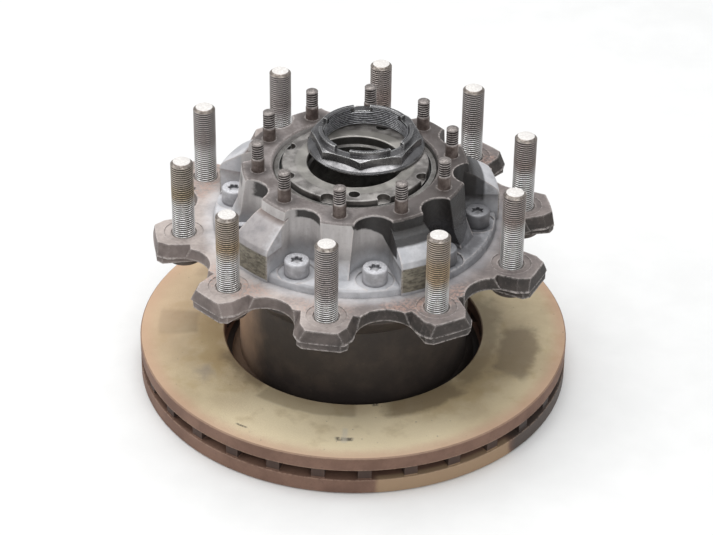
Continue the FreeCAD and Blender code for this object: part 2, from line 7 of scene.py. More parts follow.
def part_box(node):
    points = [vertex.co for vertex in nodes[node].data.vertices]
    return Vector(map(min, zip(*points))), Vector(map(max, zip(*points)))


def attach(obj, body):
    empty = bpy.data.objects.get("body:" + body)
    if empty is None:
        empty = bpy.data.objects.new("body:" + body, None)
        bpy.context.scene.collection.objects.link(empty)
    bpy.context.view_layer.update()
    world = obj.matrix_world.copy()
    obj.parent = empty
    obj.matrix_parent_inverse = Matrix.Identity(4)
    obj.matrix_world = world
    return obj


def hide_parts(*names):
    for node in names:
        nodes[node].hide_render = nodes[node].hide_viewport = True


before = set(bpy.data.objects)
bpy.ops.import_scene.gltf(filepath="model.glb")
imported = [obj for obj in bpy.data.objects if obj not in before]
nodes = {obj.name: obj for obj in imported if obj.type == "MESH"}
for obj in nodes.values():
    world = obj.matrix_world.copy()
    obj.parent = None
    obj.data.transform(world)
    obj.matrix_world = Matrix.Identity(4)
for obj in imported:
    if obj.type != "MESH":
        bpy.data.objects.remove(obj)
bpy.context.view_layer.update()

# Sizes are in millimetres. The Z axis is the axle, and Z 0 is the disc's lower face, on the floor.
MM = 0.001
FLANGE = 172.0
TOWER = FLANGE + 63.6
SCREW_SEAT = FLANGE + 7.0
COUNT = 10
FIRST = 18.0
STEP = 360.0 / COUNT
WHEEL_CIRCLE = 167.5
WHEEL_STUD_RADIUS = 11.0
WHEEL_STUD_REACH = 79.6
EAR_DEPTH = 20.0
AXLE_CIRCLE = 94.5
AXLE_STUD_RADIUS = 6.0
AXLE_STUD_REACH = 31.6
AXLE_STUD_DEPTH = 20.0
SCREW_CIRCLE = 120.0
NUT_CENTRE = (5.7, 29.8)
NUT_BORE = 41.5

# The photograph's frame: its width and lens length in pixels, and the camera's turn, tilt, roll and place
PHOTO_WIDTH = 713
PHOTO_LENS = 2449.456
PHOTO_ANGLES = (-8.545657, 34.214968, 0.7582859)
PHOTO_PLACE = (300.867, -1985.783, 1306.928 + FLANGE)


def photo_camera():
    """The photograph's viewpoint."""
    yaw, pitch, roll = (math.radians(a) for a in PHOTO_ANGLES)
    look = Vector((math.sin(yaw) * math.cos(pitch), math.cos(yaw) * math.cos(pitch), -math.sin(pitch)))
    side = look.cross(Vector((0, 0, 1))).normalized()
    top = side.cross(look)
    right = side * math.cos(roll) + top * math.sin(roll)
    up = top * math.cos(roll) - side * math.sin(roll)
    data = bpy.data.cameras.new("camera")
    data.sensor_width = 36.0
    data.lens = PHOTO_LENS / PHOTO_WIDTH * data.sensor_width
    data.clip_end = 50
    camera = bpy.data.objects.new("camera", data)
    place = Vector(PHOTO_PLACE) * MM
    camera.matrix_world = Matrix((
        (right.x, up.x, -look.x, place.x),
        (right.y, up.y, -look.y, place.y),
        (right.z, up.z, -look.z, place.z),
        (0, 0, 0, 1)))
    bpy.context.scene.collection.objects.link(camera)
    bpy.context.scene.camera = camera


def rgb(r, g, b):
    """A colour as a screen shows it, 0 to 255, as linear light."""
    def linear(c):
        c = c / 255
        return c / 12.92 if c <= 0.04045 else ((c + 0.055) / 1.055) ** 2.4
    return linear(r), linear(g), linear(b), 1.0


class Val:
    """A shader value with arithmetic."""

    def __init__(self, tree, socket):
        self.tree = tree
        self.socket = socket

    def __add__(self, other):
        return self.tree.math("ADD", self, other)

    def __sub__(self, other):
        return self.tree.math("SUBTRACT", self, other)

    def __rsub__(self, other):
        return self.tree.math("SUBTRACT", other, self)

    def __mul__(self, other):
        return self.tree.math("MULTIPLY", self, other)

    def __truediv__(self, other):
        return self.tree.math("DIVIDE", self, other)

    __radd__ = __add__
    __rmul__ = __mul__


class Tree:
    """Builds one material's nodes in object coordinates, in millimetres."""

    def __init__(self, name):
        self.material = bpy.data.materials.new(name)
        self.material.use_nodes = True
        self.nodes = self.material.node_tree.nodes
        self.links = self.material.node_tree.links
        self.shader = self.nodes["Principled BSDF"]
        coordinates = self.nodes.new("ShaderNodeTexCoord")
        scale = self.nodes.new("ShaderNodeVectorMath")
        scale.operation = "SCALE"
        self.put(scale.inputs[0], coordinates.outputs["Object"])
        scale.inputs["Scale"].default_value = 1 / MM
        self.point = scale.outputs[0]
        split = self.nodes.new("ShaderNodeSeparateXYZ")
        self.put(split.inputs[0], self.point)
        self.x, self.y, self.z = (Val(self, split.outputs[i]) for i in range(3))
        geometry = self.nodes.new("ShaderNodeNewGeometry")
        normal = self.nodes.new("ShaderNodeSeparateXYZ")
        self.put(normal.inputs[0], geometry.outputs["Normal"])
        self.up = Val(self, normal.outputs[2])
        self.radius = self.away(0.0, 0.0)
        self.angle = self.math("ARCTAN2", self.y, self.x) * math.degrees(1)

    def put(self, socket, value):
        if isinstance(value, Val):
            self.links.new(value.socket, socket)
        elif isinstance(value, bpy.types.NodeSocket):
            self.links.new(value, socket)
        else:
            socket.default_value = value

    def math(self, kind, *values):
        node = self.nodes.new("ShaderNodeMath")
        node.operation = kind
        for socket, value in zip(node.inputs, values):
            self.put(socket, value)
        return Val(self, node.outputs[0])

    def length(self, a, b):
        return self.math("SQRT", a * a + b * b)

    def away(self, x, y):
        """Distance from an upright line."""
        return self.length(self.x - x, self.y - y)

    def nearest(self, circle, first):
        """Distance from the nearest of the ten axes on a circle."""
        turn = self.math("WRAP", self.angle - first, STEP / 2, -STEP / 2) * math.radians(1)
        across = self.radius * self.math("SINE", turn)
        along = self.radius * self.math("COSINE", turn) - circle
        return self.length(across, along)

    def step(self, value, low, high):
        """0 below low, 1 above high, smooth between; low may be above high."""
        node = self.nodes.new("ShaderNodeMapRange")
        node.interpolation_type = "SMOOTHSTEP"
        node.clamp = True
        self.put(node.inputs["Value"], value)
        pairs = (low, high, 0.0, 1.0) if low < high else (high, low, 1.0, 0.0)
        for name, number in zip(("From Min", "From Max", "To Min", "To Max"), pairs):
            node.inputs[name].default_value = number
        return Val(self, node.outputs[0])

    def band(self, value, low, high, soft):
        return self.step(value, low - soft, low + soft) * self.step(value, high + soft, high - soft)

    def texture(self, kind, size, seed, stretch=(1.0, 1.0, 1.0)):
        node = self.nodes.new(kind)
        move = self.nodes.new("ShaderNodeMapping")
        self.put(move.inputs["Vector"], self.point)
        move.inputs["Location"].default_value = (seed * 37.0, seed * 91.0, seed * 53.0)
        move.inputs["Scale"].default_value = stretch
        self.put(node.inputs["Vector"], move.outputs[0])
        node.inputs["Scale"].default_value = 1.0 / size
        return node

    def noise(self, size, detail=3.0, rough=0.6, seed=0.0, stretch=(1.0, 1.0, 1.0)):
        """Noise from 0 to 1 whose largest forms are about size mm wide."""
        node = self.texture("ShaderNodeTexNoise", size, seed, stretch)
        node.inputs["Detail"].default_value = detail
        node.inputs["Roughness"].default_value = rough
        return Val(self, node.outputs["Fac"])

    def cells(self, size, seed=0.0):
        return Val(self, self.texture("ShaderNodeTexVoronoi", size, seed).outputs["Distance"])

    def rings(self, value, detail=3.0):
        """Noise that runs along one value only, as tool marks do."""
        node = self.nodes.new("ShaderNodeTexNoise")
        node.noise_dimensions = "1D"
        self.put(node.inputs["W"], value)
        node.inputs["Detail"].default_value = detail
        return Val(self, node.outputs["Fac"])

    def mix(self, amount, a, b):
        node = self.nodes.new("ShaderNodeMix")
        node.data_type = "RGBA"
        node.clamp_factor = True
        self.put(node.inputs[0], amount)
        self.put(node.inputs[6], a)
        self.put(node.inputs[7], b)
        return Val(self, node.outputs[2])

    def two_tone(self, pattern, dark, pale, low=0.35, high=0.65):
        return self.mix(self.step(pattern, low, high), rgb(*dark), rgb(*pale))

    def sector(self, reach, angles, soft=4.0, turn_soft=2.0, wobble=0.0):
        """1 between two radii and two angles, with ragged edges."""
        ring = self.band(self.radius + wobble * soft * 2, reach[0], reach[1], soft)
        return ring * self.band(self.angle + wobble * turn_soft * 2, angles[0], angles[1], turn_soft)

    def line(self, value, points):
        """A line drawn through (value, height) points, heights from 0 to 100."""
        low, high = points[0][0], points[-1][0]
        node = self.nodes.new("ShaderNodeFloatCurve")
        curve = node.mapping.curves[0]
        places = [((a - low) / (high - low), height / 100) for a, height in points]
        for place in places[1:-1]:
            curve.points.new(*place)
        for point, place in zip(curve.points, places):
            point.location = place
            point.handle_type = "VECTOR"
        node.mapping.update()
        self.put(node.inputs["Value"], (value - low) / (high - low))
        return Val(self, node.outputs[0]) * 100

    def occlusion(self, reach, inside):
        node = self.nodes.new("ShaderNodeAmbientOcclusion")
        node.samples = 4
        node.inside = inside
        node.only_local = True
        node.inputs["Distance"].default_value = reach * MM
        return Val(self, node.outputs["AO"])

    def edge_wear_and_highlight(self, reach=2.0):
        """1 on outer corners and edges, for edge wear and painted highlights."""
        return self.step(self.occlusion(reach, True), 0.92, 0.55)

    def shaded_hollows(self, reach=6.0):
        """1 in inner corners."""
        return self.step(self.occlusion(reach, False), 0.85, 0.35)

    def highest(self, values):
        result = values[0]
        for value in values[1:]:
            result = self.math("MAXIMUM", result, value)
        return result

    def finish(self, color, rough, metal=0.0, bump=None, strength=0.3, distance=0.3, soften=0.0):
        """Joins colour, roughness and bump to the shader; soften rounds sharp edges in the light."""
        self.put(self.shader.inputs["Base Color"], color)
        self.put(self.shader.inputs["Roughness"], rough)
        self.put(self.shader.inputs["Metallic"], metal)
        if bump is not None:
            node = self.nodes.new("ShaderNodeBump")
            node.inputs["Strength"].default_value = strength
            node.inputs["Distance"].default_value = distance * MM
            self.put(node.inputs["Height"], bump)
            self.put(self.shader.inputs["Normal"], node.outputs[0])
            if soften:
                bevel = self.nodes.new("ShaderNodeBevel")
                bevel.samples = 4
                bevel.inputs["Radius"].default_value = soften * MM
                self.put(node.inputs["Normal"], bevel.outputs[0])
        return self.material


# Lower edge of the black paint on the tower's front, as (angle, height above the flange)
BLACK_EDGE = ((-83, 62), (-80, 52), (-72, 48), (-66, 43), (-62, 27), (-57, 21), (-45, 17), (-35, 11),
              (-22, 13), (-14, 20), (-6, 40))


class HubIron(Tree):
    """Cast iron under pale dust, with black paint left on the tower and rust on the ears."""

    def __init__(self):
        super().__init__("hub_iron_dusty")
        self.blotch = self.noise(28, 4)
        self.fine = self.noise(3.2, 4, 0.65, seed=2)
        self.grit = self.noise(0.9, 3, 0.7, seed=3)
        self.wave = (self.noise(9, 3, seed=4) - 0.5) * 2
        self.drift = (self.noise(26, 3, seed=9) - 0.5) * 2
        self.height = self.z - FLANGE
        self.level = self.step(self.up, 0.5, 0.8)
        self.upright = 1.0 - self.level
        self.rightward = self.step(self.x - self.y * 0.2 + self.drift * 20, -10, 90)

    def flange_sides(self):
        """Sides of the flange and of its ears, darker on the right."""
        left = self.two_tone(self.blotch, (98, 88, 84), (134, 122, 117))
        right = self.two_tone(self.blotch, (42, 37, 34), (66, 59, 55))
        color = self.mix(self.step(self.x + self.drift * 12, -90, 60), left, right)
        return self.mix(self.step(self.fine, 0.5, 0.8) * 0.35, color, rgb(128, 116, 111))

    def ear_tops(self, color):
        """Tops of the ears: pale with ground-in rust on the left, darker on the right."""
        mottle = self.blotch + self.fine * 0.4
        pale_top = self.two_tone(mottle, (156, 145, 140), (194, 183, 177), 0.5, 0.9)
        dark_top = self.two_tone(mottle, (108, 100, 98), (142, 132, 128), 0.5, 0.9)
        flange_top = self.level * self.band(self.height, -6, 3, 1.0) * self.step(self.radius, 132, 140)
        color = self.mix(flange_top, color, self.mix(self.rightward, pale_top, dark_top))
        rust = self.highest([
            self.sector((150, 176), (-140, -112), 9, 5, self.wave),
            self.sector((148, 170), (-70, -40), 9, 5, self.wave) * 0.8,
            self.sector((150, 182), (150, 178), 9, 5, self.wave) * 0.8,
            self.sector((146, 170), (-104, -84), 8, 5, self.wave) * 0.5,
            self.sector((150, 182), (40, 66), 9, 5, self.wave) * 0.8,
        ]) * flange_top * self.step(self.fine, 0.4, 0.6)
        return self.mix(rust * 0.6, color, rgb(196, 158, 142)), rust

    def pale_dust(self, color):
        """Dust round the screws, on the pads and up the flutes."""
        reach = self.radius + self.wave * 6 + self.drift * 5
        settled = self.step(reach, 156, 136) * self.step(self.height, -1.0, 0.6)
        settled = settled * self.step(self.height + self.wave * 7, 40, 10)
        shelf = self.step(self.height, 27, 29.5) * self.step(self.radius, 112, 118)
        dust = self.two_tone(self.blotch, (188, 189, 193), (216, 216, 219))
        dust = self.mix(self.step(self.fine, 0.5, 0.8) * 0.35, dust, rgb(150, 149, 152))
        dust = self.mix(self.band(self.angle + self.wave * 4, -46, 6, 6) * 0.6, dust, rgb(102, 102, 106))
        browned = self.sector((112, 150), (-140, -118), 3, 3, self.wave) * shelf * 0.5
        return self.mix(self.highest([settled * 0.92, shelf * 0.85]) - browned, color, dust)

    def tower_wall(self, color):
        """Walls of the tower, warm grey with runs."""
        runs = self.noise(10, 4, seed=6, stretch=(1.0, 1.0, 0.12))
        wall = self.two_tone(runs, (182, 177, 175), (208, 204, 202), 0.3, 0.8)
        wall = self.mix(self.step(self.fine, 0.5, 0.85) * 0.4, wall, rgb(132, 124, 120))
        wall = self.mix(self.step(self.x + self.drift * 12, 20, 70) * 0.8, wall, rgb(62, 58, 56))
        above = self.step(self.height + self.wave * 7, 14, 42) * self.upright
        return self.mix(above * self.step(self.radius, 119, 116), color, wall)

    def crown_face(self, color, crown):
        """The tower's top face, oily round the short studs."""
        top = self.two_tone(self.blotch + self.fine * 0.4, (98, 90, 87), (138, 131, 129), 0.5, 0.9)
        top = self.mix(self.step(self.grit, 0.55, 0.75) * 0.4, top, rgb(80, 72, 68))
        oil = self.step(self.nearest(AXLE_CIRCLE, FIRST) + self.wave * 4, 18, 8)
        top = self.mix(self.highest([oil * 0.55, self.rightward * 0.75]), top, rgb(54, 47, 44))
        return self.mix(crown, color, top), oil

    def pad_faces(self, color):
        """Machined faces of the pads, olive with dark streaks."""
        pad = self.step(self.radius, 139.4, 140.0) * self.band(self.height, 3.0, 29.0, 0.5) * self.upright
        streak = self.noise(7, 4, 0.65, seed=8, stretch=(1, 1, 2.5))
        bare = self.two_tone(streak, (100, 95, 84), (150, 144, 128))
        bare = self.mix(self.step(self.fine, 0.55, 0.7) * 0.6, bare, rgb(72, 67, 58))
        return self.mix(pad, color, bare)

    def black_paint(self, color, crown):
        """What is left of the paint below the tower's edge."""
        ragged = self.wave * 1.6
        around = self.angle + self.wave * 2
        below = self.step(self.height - self.line(self.angle, BLACK_EDGE) + ragged, -1.2, 1.2)
        front = below * self.band(self.angle, -83, -7, 1.0)
        front = front * self.step(self.height + ragged * 0.5, 62.6, 61.4)
        right = self.band(self.angle + self.wave * 4, -8, 40, 4)
        right = right * self.step(self.height + self.wave * 8, 14, 30) * 0.9
        scraps = self.highest([
            self.band(around, -115, -99, 1.0) * self.band(self.height + ragged, 54, 62.2, 1.0),
            self.band(around, -152, -137, 1.0) * self.band(self.height + ragged, 46, 62.2, 1.5),
            self.band(around, -168, -160, 1.0) * self.band(self.height + ragged, 48, 58, 1.5) * 0.7,
        ])
        tower = self.step(self.radius, 82, 84) * self.step(self.radius + self.wave, 127, 124)
        tower = tower * (1.0 - crown) * self.step(self.up, 0.97, 0.92)
        black = self.highest([front, right, scraps]) * tower
        paint = self.two_tone(self.fine, (24, 22, 21), (40, 36, 34), 0.4, 0.7)
        return self.mix(black * 0.95, color, paint), black

    def grease_patch(self, color):
        """Grease round the right-hand screw."""
        grease = self.sector((98, 134), (-46, 6), 6, 5, self.wave)
        grease = grease * self.step(self.height, 46, 30) * self.step(self.height, -1, 0.5)
        grease = grease * (0.35 + self.step(self.noise(14, 3, seed=11), 0.3, 0.55) * 0.65)
        return self.mix(grease * 0.72, color, rgb(66, 65, 68)), grease

    def shaded_underside_and_bore(self, color):
        """Painted shade on the underside, and a dark brown bore that is partly painted shade."""
        # Painted shade on the faces that look down.
        under = self.step(self.up, 0.1, -0.5)
        color = self.mix(under * 0.7, color, rgb(52, 46, 43))
        inner = self.step(self.radius, 98, 96) * self.step(self.height, -8, -14)
        bore = self.two_tone(self.blotch, (64, 57, 53), (92, 81, 74))
        return self.mix(inner, color, bore), under

    def dressed(self):
        """All the layers, then wear and painted highlights on the edges and painted shade in the corners.
        """
        color, rust = self.ear_tops(self.flange_sides())
        color = self.tower_wall(self.pale_dust(color))
        crown = self.step(self.height, 60.5, 62.5) * self.level
        color, oil = self.crown_face(color, crown)
        color, black = self.black_paint(self.pad_faces(color), crown)
        color, grease = self.grease_patch(color)
        color, under = self.shaded_underside_and_bore(color)
        # Edges lightened: partly wear, partly painted highlight.
        bright = self.edge_wear_and_highlight(2.2) * (1.0 - black) * (1.0 - under) * self.step(self.fine, 0.3, 0.6)
        color = self.mix(bright * 0.75, color, rgb(216, 207, 202))
        # Painted shade in the inner corners.
        color = self.mix(self.shaded_hollows(7.0) * 0.45, color, rgb(58, 52, 50))
        roughness = 0.62 + (self.fine - 0.5) * 0.25 - grease * 0.25 - black * 0.22
        roughness = roughness - bright * 0.15 - oil * crown * 0.2
        bump = self.fine * 0.7 + self.grit * 0.35 + self.blotch * 0.6 + rust * 0.6 - black * 0.5
        return self.finish(color, roughness, 0.12, bump, 0.55, 0.9, soften=1.6)


class DiscIron(Tree):
    """Worn friction face with a rusty rim and old stains, brown edges and a dark neck."""

    def __init__(self):
        super().__init__("disc_iron_worn")
        self.blotch = self.noise(46, 4, seed=1)
        self.cloud = (self.noise(20, 4, seed=5) - 0.5) * 2
        self.fine = self.noise(3.0, 4, 0.65, seed=2)
        self.grit = self.noise(0.9, 3, 0.7, seed=3)
        self.ring = self.rings(self.radius * 1.4)

    def friction_face(self):
        """Tan iron, with painted light brightening the front, and golden patches."""
        tan = self.two_tone(self.blotch, (190, 172, 140), (208, 192, 158), 0.3, 0.7)
        # Painted light: the front of the face lightened.
        near = self.sector((146, 230), (-122, -50), 16, 12)
        tan = self.mix(near * 0.7, tan, rgb(252, 236, 200))
        tan = self.mix(self.step(self.ring, 0.45, 0.75) * 0.25, tan, rgb(152, 132, 98))
        gold = self.highest([
            self.sector((128, 160), (-180, -140), 10, 8, self.cloud) * 0.8,
            self.sector((128, 170), (-60, -8), 12, 8, self.cloud) * 0.7,
            self.step(self.noise(34, 3, seed=9), 0.52, 0.7) * 0.5,
        ])
        return self.mix(gold * 0.6, tan, rgb(166, 138, 86))

    def old_stains(self, color):
        """Brown stains, a grey smudge, small dark spots and a pale scratch."""
        stains = self.highest([
            self.sector((157, 196), (-179, -166), 2.5, 1.2, self.cloud * 0.5) * 0.6,
            self.sector((119, 140), (-152, -122), 6, 4, self.cloud),
            self.sector((100, 150), (-120, -80), 2.5, 1.2, self.cloud * 0.5) * 0.6,
            self.sector((120, 155), (-68, -36), 4, 3, self.cloud) * 0.95,
            self.sector((150, 188), (-20, 8), 6, 3, self.cloud),
            self.sector((128, 150), (-36, 30), 8, 6, self.cloud) * 0.7,
            self.sector((140, 190), (60, 110), 8, 6, self.cloud) * 0.7,
            self.sector((150, 185), (130, 160), 8, 6, self.cloud) * 0.6,
        ])
        color = self.mix(stains * 0.72, color, rgb(122, 106, 82))
        smudge = self.sector((159, 176), (-145, -139), 8, 3, self.cloud)
        color = self.mix(smudge * 0.55, color, rgb(140, 128, 122))
        spots = self.highest([
            self.sector((129, 134), (-73, -70.5), 1.5, 0.6, self.cloud * 0.5),
            self.sector((182, 187), (-86, -81), 1.2, 0.8, self.cloud),
            self.sector((195, 197), (-115.5, -112), 0.8, 0.6, self.cloud),
        ]) * self.step(self.fine, 0.35, 0.5)
        color = self.mix(spots * 0.85, color, rgb(78, 72, 66))
        streak = self.sector((168, 190), (-84.4, -82.8), 2, 0.5, self.cloud * 0.3)
        return self.mix(streak * 0.6, color, rgb(216, 206, 186)), stains

    def rim_rust(self, color):
        """Rust that comes in from the rim, and dark specks."""
        rim = self.step(self.radius + self.cloud * 5, 194, 212)
        color = self.mix(rim * 0.6, color, rgb(192, 150, 128))
        left = self.step(self.x * 0.94 - self.y * 0.1 + self.cloud * 10, -120, -190)
        color = self.mix(left * 0.5, color, rgb(210, 178, 148))
        specks = self.step(self.cells(9, seed=2) + self.fine * 0.3, 0.24, 0.17)
        return self.mix(specks * 0.5, color, rgb(100, 88, 78)), rim, specks

    def plate_edges(self, color, face):
        """Outer edges of the two plates, with painted shade in the gap between them."""
        rusty = self.two_tone(self.blotch + self.fine * 0.4, (112, 84, 70), (134, 104, 88), 0.5, 0.9)
        rusty = self.mix(self.step(self.fine, 0.55, 0.75) * 0.5, rusty, rgb(88, 66, 58))
        lower = self.step(self.z, 19, 16) * self.step(self.radius, 205, 210)
        golden = lower * self.band(self.angle + self.cloud * 1.5, -75, -36, 1.0)
        rusty = self.mix(golden * 0.8, rusty, rgb(172, 146, 116))
        greasy = self.highest([lower, self.step(self.z, 30, 20)])
        greasy = greasy * self.band(self.angle + self.cloud * 1.5, -35, 0, 2)
        rusty = self.mix(greasy * 0.85, rusty, rgb(70, 64, 60))
        # Painted shade in the gap between the plates.
        inside = self.step(self.radius, 213.2, 211.8) * self.band(self.z, 17, 28, 0.4)
        rusty = self.mix(inside * 0.85, rusty, rgb(50, 39, 35))
        return self.mix(face, rusty, color), greasy, inside

    def neck_and_mount(self, color):
        """Neck and mounting flange, dark brown, with painted light on the left side."""
        low = self.step(self.radius, 129, 127.5) * self.step(self.z, -1, 0.5)
        neck = self.highest([low, self.step(self.z, 44, 48)])
        brown = self.two_tone(self.noise(22, 4, seed=7), (52, 45, 41), (64, 55, 49), 0.4, 0.7)
        brown = self.mix(self.step(self.fine, 0.6, 0.8) * 0.5, brown, rgb(94, 80, 68))
        # Painted light: the neck's left side lightened.
        leftward = self.step(self.x + self.cloud * 8, -70, -110)
        brown = self.mix(leftward * self.step(self.up, 0.9, 0.6) * 0.9, brown, rgb(176, 146, 122))
        return self.mix(neck, color, brown)

    def dressed(self):
        """All the layers, then wear and painted highlights on the edges."""
        color, stains = self.old_stains(self.friction_face())
        color, rim, specks = self.rim_rust(color)
        face = self.step(self.up, 0.6, 0.9) * self.step(self.radius, 128.5, 129.5)
        face = face * self.band(self.z, 38, 46, 1.0)
        color, greasy, inside = self.plate_edges(color, face)
        color = self.neck_and_mount(color)
        # Edges lightened: partly wear, partly painted highlight.
        bright = self.edge_wear_and_highlight(1.6) * self.step(self.fine, 0.35, 0.6) * (1.0 - inside)
        color = self.mix(bright * 0.4, color, rgb(206, 178, 156))
        roughness = 0.6 + (self.fine - 0.5) * 0.2 + rim * 0.12 - stains * 0.08 - greasy * 0.15
        bump = self.fine * 0.5 + self.grit * 0.3 - specks * 0.8
        bump = bump + (1.0 - face) * self.blotch * 1.2 + self.ring * face * 0.2
        return self.finish(color, roughness, 0.1, bump, 0.5, 0.7, soften=1.2)


def wheel_stud_material(number, split, worn):
    """A long threaded stud: worn bright below the split height, rusty above, with a pale end, painted
    shade in its thread roots and painted shade below the flange.
    """
    t = Tree(f"wheel_stud_{number + 1:02d}")
    fine = t.noise(2.0, 3, seed=3)
    blotch = t.noise(11, 4, seed=number)
    height = t.z - FLANGE
    local = t.nearest(WHEEL_CIRCLE, FIRST)
    groove = t.step(local, 10.8, 10.2) * t.band(height, -3, 77.2, 0.3)
    upper = t.step(height + (blotch - 0.5) * 20, split - 9, split + 9)
    bright = t.two_tone(blotch, (236, 234, 231), (254, 253, 251))
    aged = t.mix(t.step(fine, 0.35, 0.7), rgb(*worn), rgb(*(c * 0.8 for c in worn)))
    aged = t.mix(t.step(height, 46, 62) * 0.6, aged, rgb(186, 180, 176))
    crest = t.mix(upper, bright, aged)
    # Painted shade in the thread roots.
    root = t.mix(upper, rgb(72, 66, 62), rgb(*(c * 0.36 for c in worn)))
    color = t.mix(groove, crest, root)
    color = t.mix(t.step(fine, 0.58, 0.75) * 0.3, color, rgb(92, 80, 72))
    chamfer = t.step(height, WHEEL_STUD_REACH - 3.0, WHEEL_STUD_REACH - 2.2)
    color = t.mix(chamfer, color, t.two_tone(fine, (124, 114, 107), (168, 160, 152)))
    end = t.step(height, WHEEL_STUD_REACH - 0.5, WHEEL_STUD_REACH - 0.2) * t.step(t.up, 0.8, 0.95)
    color = t.mix(end, color, t.two_tone(fine, (206, 202, 198), (232, 230, 226), 0.4, 0.8))
    # Painted shade below the flange.
    under = t.step(height, -2, -4)
    color = t.mix(under, color, t.two_tone(blotch, (60, 53, 50), (86, 76, 70)))
    metal = (1.0 - end) * (1.0 - under) * (1.0 - groove * 0.5) * 0.75
    roughness = 0.26 + upper * 0.08 + fine * 0.12 + end * 0.3 + under * 0.3
    return t.finish(color, roughness, metal, fine + blotch, 0.3, 0.2)


def axle_stud_material():
    """A short dark stud with painted highlights on its thread crests and painted shade in its thread
    roots.
    """
    t = Tree("axle_stud_dark")
    fine = t.noise(1.6, 3, seed=3)
    blotch = t.noise(7, 4, seed=5)
    height = t.z - TOWER
    groove = t.step(t.nearest(AXLE_CIRCLE, FIRST), 5.85, 5.4) * t.band(height, 13.2, 30.0, 0.3)
    # Painted highlight on the crests, painted shade in the roots.
    crest = t.two_tone(blotch, (138, 129, 125), (190, 182, 178))
    color = t.mix(groove, crest, rgb(38, 33, 31))
    collar = t.two_tone(blotch, (92, 80, 75), (122, 110, 104))
    collar = t.mix(t.step(fine, 0.5, 0.75) * 0.5, collar, rgb(54, 46, 42))
    color = t.mix(t.step(height, 13.6, 12.4), color, collar)
    color = t.mix(t.step(height, 29.9, 30.6), color, t.two_tone(fine, (104, 98, 95), (150, 143, 139)))
    return t.finish(color, 0.36 + fine * 0.15, 0.5, fine + blotch, 0.3, 0.2)


def screw_material():
    """Dusty socket-head screws, greasy on the right, with painted shade in the recess."""
    t = Tree("screw_coated_dusty")
    fine = t.noise(1.8, 3, seed=3)
    blotch = t.noise(8, 4, seed=5)
    height = t.z - SCREW_SEAT
    color = t.two_tone(blotch, (166, 165, 167), (194, 193, 196))
    top = t.step(t.up, 0.7, 0.95) * t.step(height, 14.0, 15.2)
    color = t.mix(top, color, t.two_tone(fine, (184, 184, 188), (214, 214, 217), 0.4, 0.7))
    centre = t.nearest(SCREW_CIRCLE, 0.0)
    # Painted shade on the walls of the recess.
    recess = t.step(centre, 7.0, 6.4) * t.step(height, 15.2, 14.4)
    color = t.mix(recess * t.step(centre, 3.0, 5.0) * 0.85, color, rgb(92, 92, 96))
    foot = t.step(height, 3.5, 0.5)
    color = t.mix(foot * 0.5, color, rgb(104, 102, 105))
    greasy = t.band(t.angle, -52, 14, 4)
    color = t.mix(greasy * 0.7, color, rgb(62, 62, 65))
    return t.finish(color, 0.55 + fine * 0.15 - greasy * 0.25, 0.25, fine + blotch, 0.3, 0.25, soften=0.6)


def turned_steel(name, dark, pale, roughness, metal=0.85, seed=1, glint=0.0):
    """Turned steel: rings of tool marks, smudges and a film of dirt, with wear and painted highlights on
    its edges where glint is given.
    """
    t = Tree(name)
    fine = t.noise(2.2, 4, 0.65, seed=seed)
    blotch = t.noise(17, 4, seed=seed + 1)
    ring = t.rings(t.radius * 1.2 + t.z * 1.2, 4.0)
    color = t.two_tone(blotch + (ring - 0.5) * 0.35, dark, pale, 0.35, 0.68)
    color = t.mix(t.step(fine, 0.56, 0.78) * 0.5, color, rgb(*(c * 0.6 for c in dark)))
    if glint:
        # Edges lightened: partly wear, partly painted highlight.
        color = t.mix(t.edge_wear_and_highlight(1.2) * glint, color, rgb(222, 222, 220))
    rough = roughness + (fine - 0.5) * 0.2 + t.step(blotch, 0.6, 0.4) * 0.08
    return t.finish(color, rough, metal, fine * 0.6 + ring * 0.5, 0.3, 0.15, soften=0.7)


def washer_material():
    """The washer: smeared with old grease, a polished inner band, painted shade on its side faces, and
    wear and painted highlights on its edges.
    """
    t = Tree("washer_worn")
    fine = t.noise(2.2, 4, 0.65, seed=1)
    blotch = t.noise(15, 4, seed=2)
    ring = t.rings(t.radius * 0.9)
    color = t.two_tone(blotch + (ring - 0.5) * 0.4, (116, 112, 109), (172, 168, 164), 0.35, 0.68)
    color = t.mix(t.step(t.radius + (blotch - 0.5) * 5, 59, 56.5) * 0.6, color, rgb(170, 167, 160))
    color = t.mix(t.step(fine, 0.58, 0.78) * 0.4, color, rgb(84, 79, 76))
    # Painted shade on the faces that do not look up.
    color = t.mix(t.step(t.up, 0.6, 0.2) * 0.6, color, rgb(62, 58, 56))
    # Edges lightened: partly wear, partly painted highlight.
    color = t.mix(t.edge_wear_and_highlight(1.2) * 0.6, color, rgb(214, 212, 208))
    rough = 0.34 + (fine - 0.5) * 0.2 + t.step(blotch, 0.4, 0.7) * 0.14
    return t.finish(color, rough, 0.8, fine, 0.3, 0.2, soften=0.7)


def nut_thread_material():
    """Lines of the nut's own thread: painted highlights on the crests over painted shade in the roots."""
    t = Tree("nut_thread_lines")
    fine = t.noise(2.0, 3, seed=4)
    crest = t.step(t.away(*NUT_CENTRE), NUT_BORE - 0.5, NUT_BORE - 1.0)
    # Painted highlight on the crests, painted shade in the roots.
    color = t.mix(crest, rgb(34, 34, 36), t.two_tone(fine, (116, 116, 118), (176, 176, 178)))
    return t.finish(color, 0.28 + fine * 0.1, 0.85, fine, 0.2, 0.1)


def rubber_material():
    """Black seal rubber with a film of dust."""
    t = Tree("seal_black")
    fine = t.noise(2.0, 3)
    color = t.two_tone(fine, (28, 27, 27), (48, 46, 45), 0.4, 0.7)
    return t.finish(color, 0.5 + fine * 0.2, 0.0, fine, 0.2, 0.2)


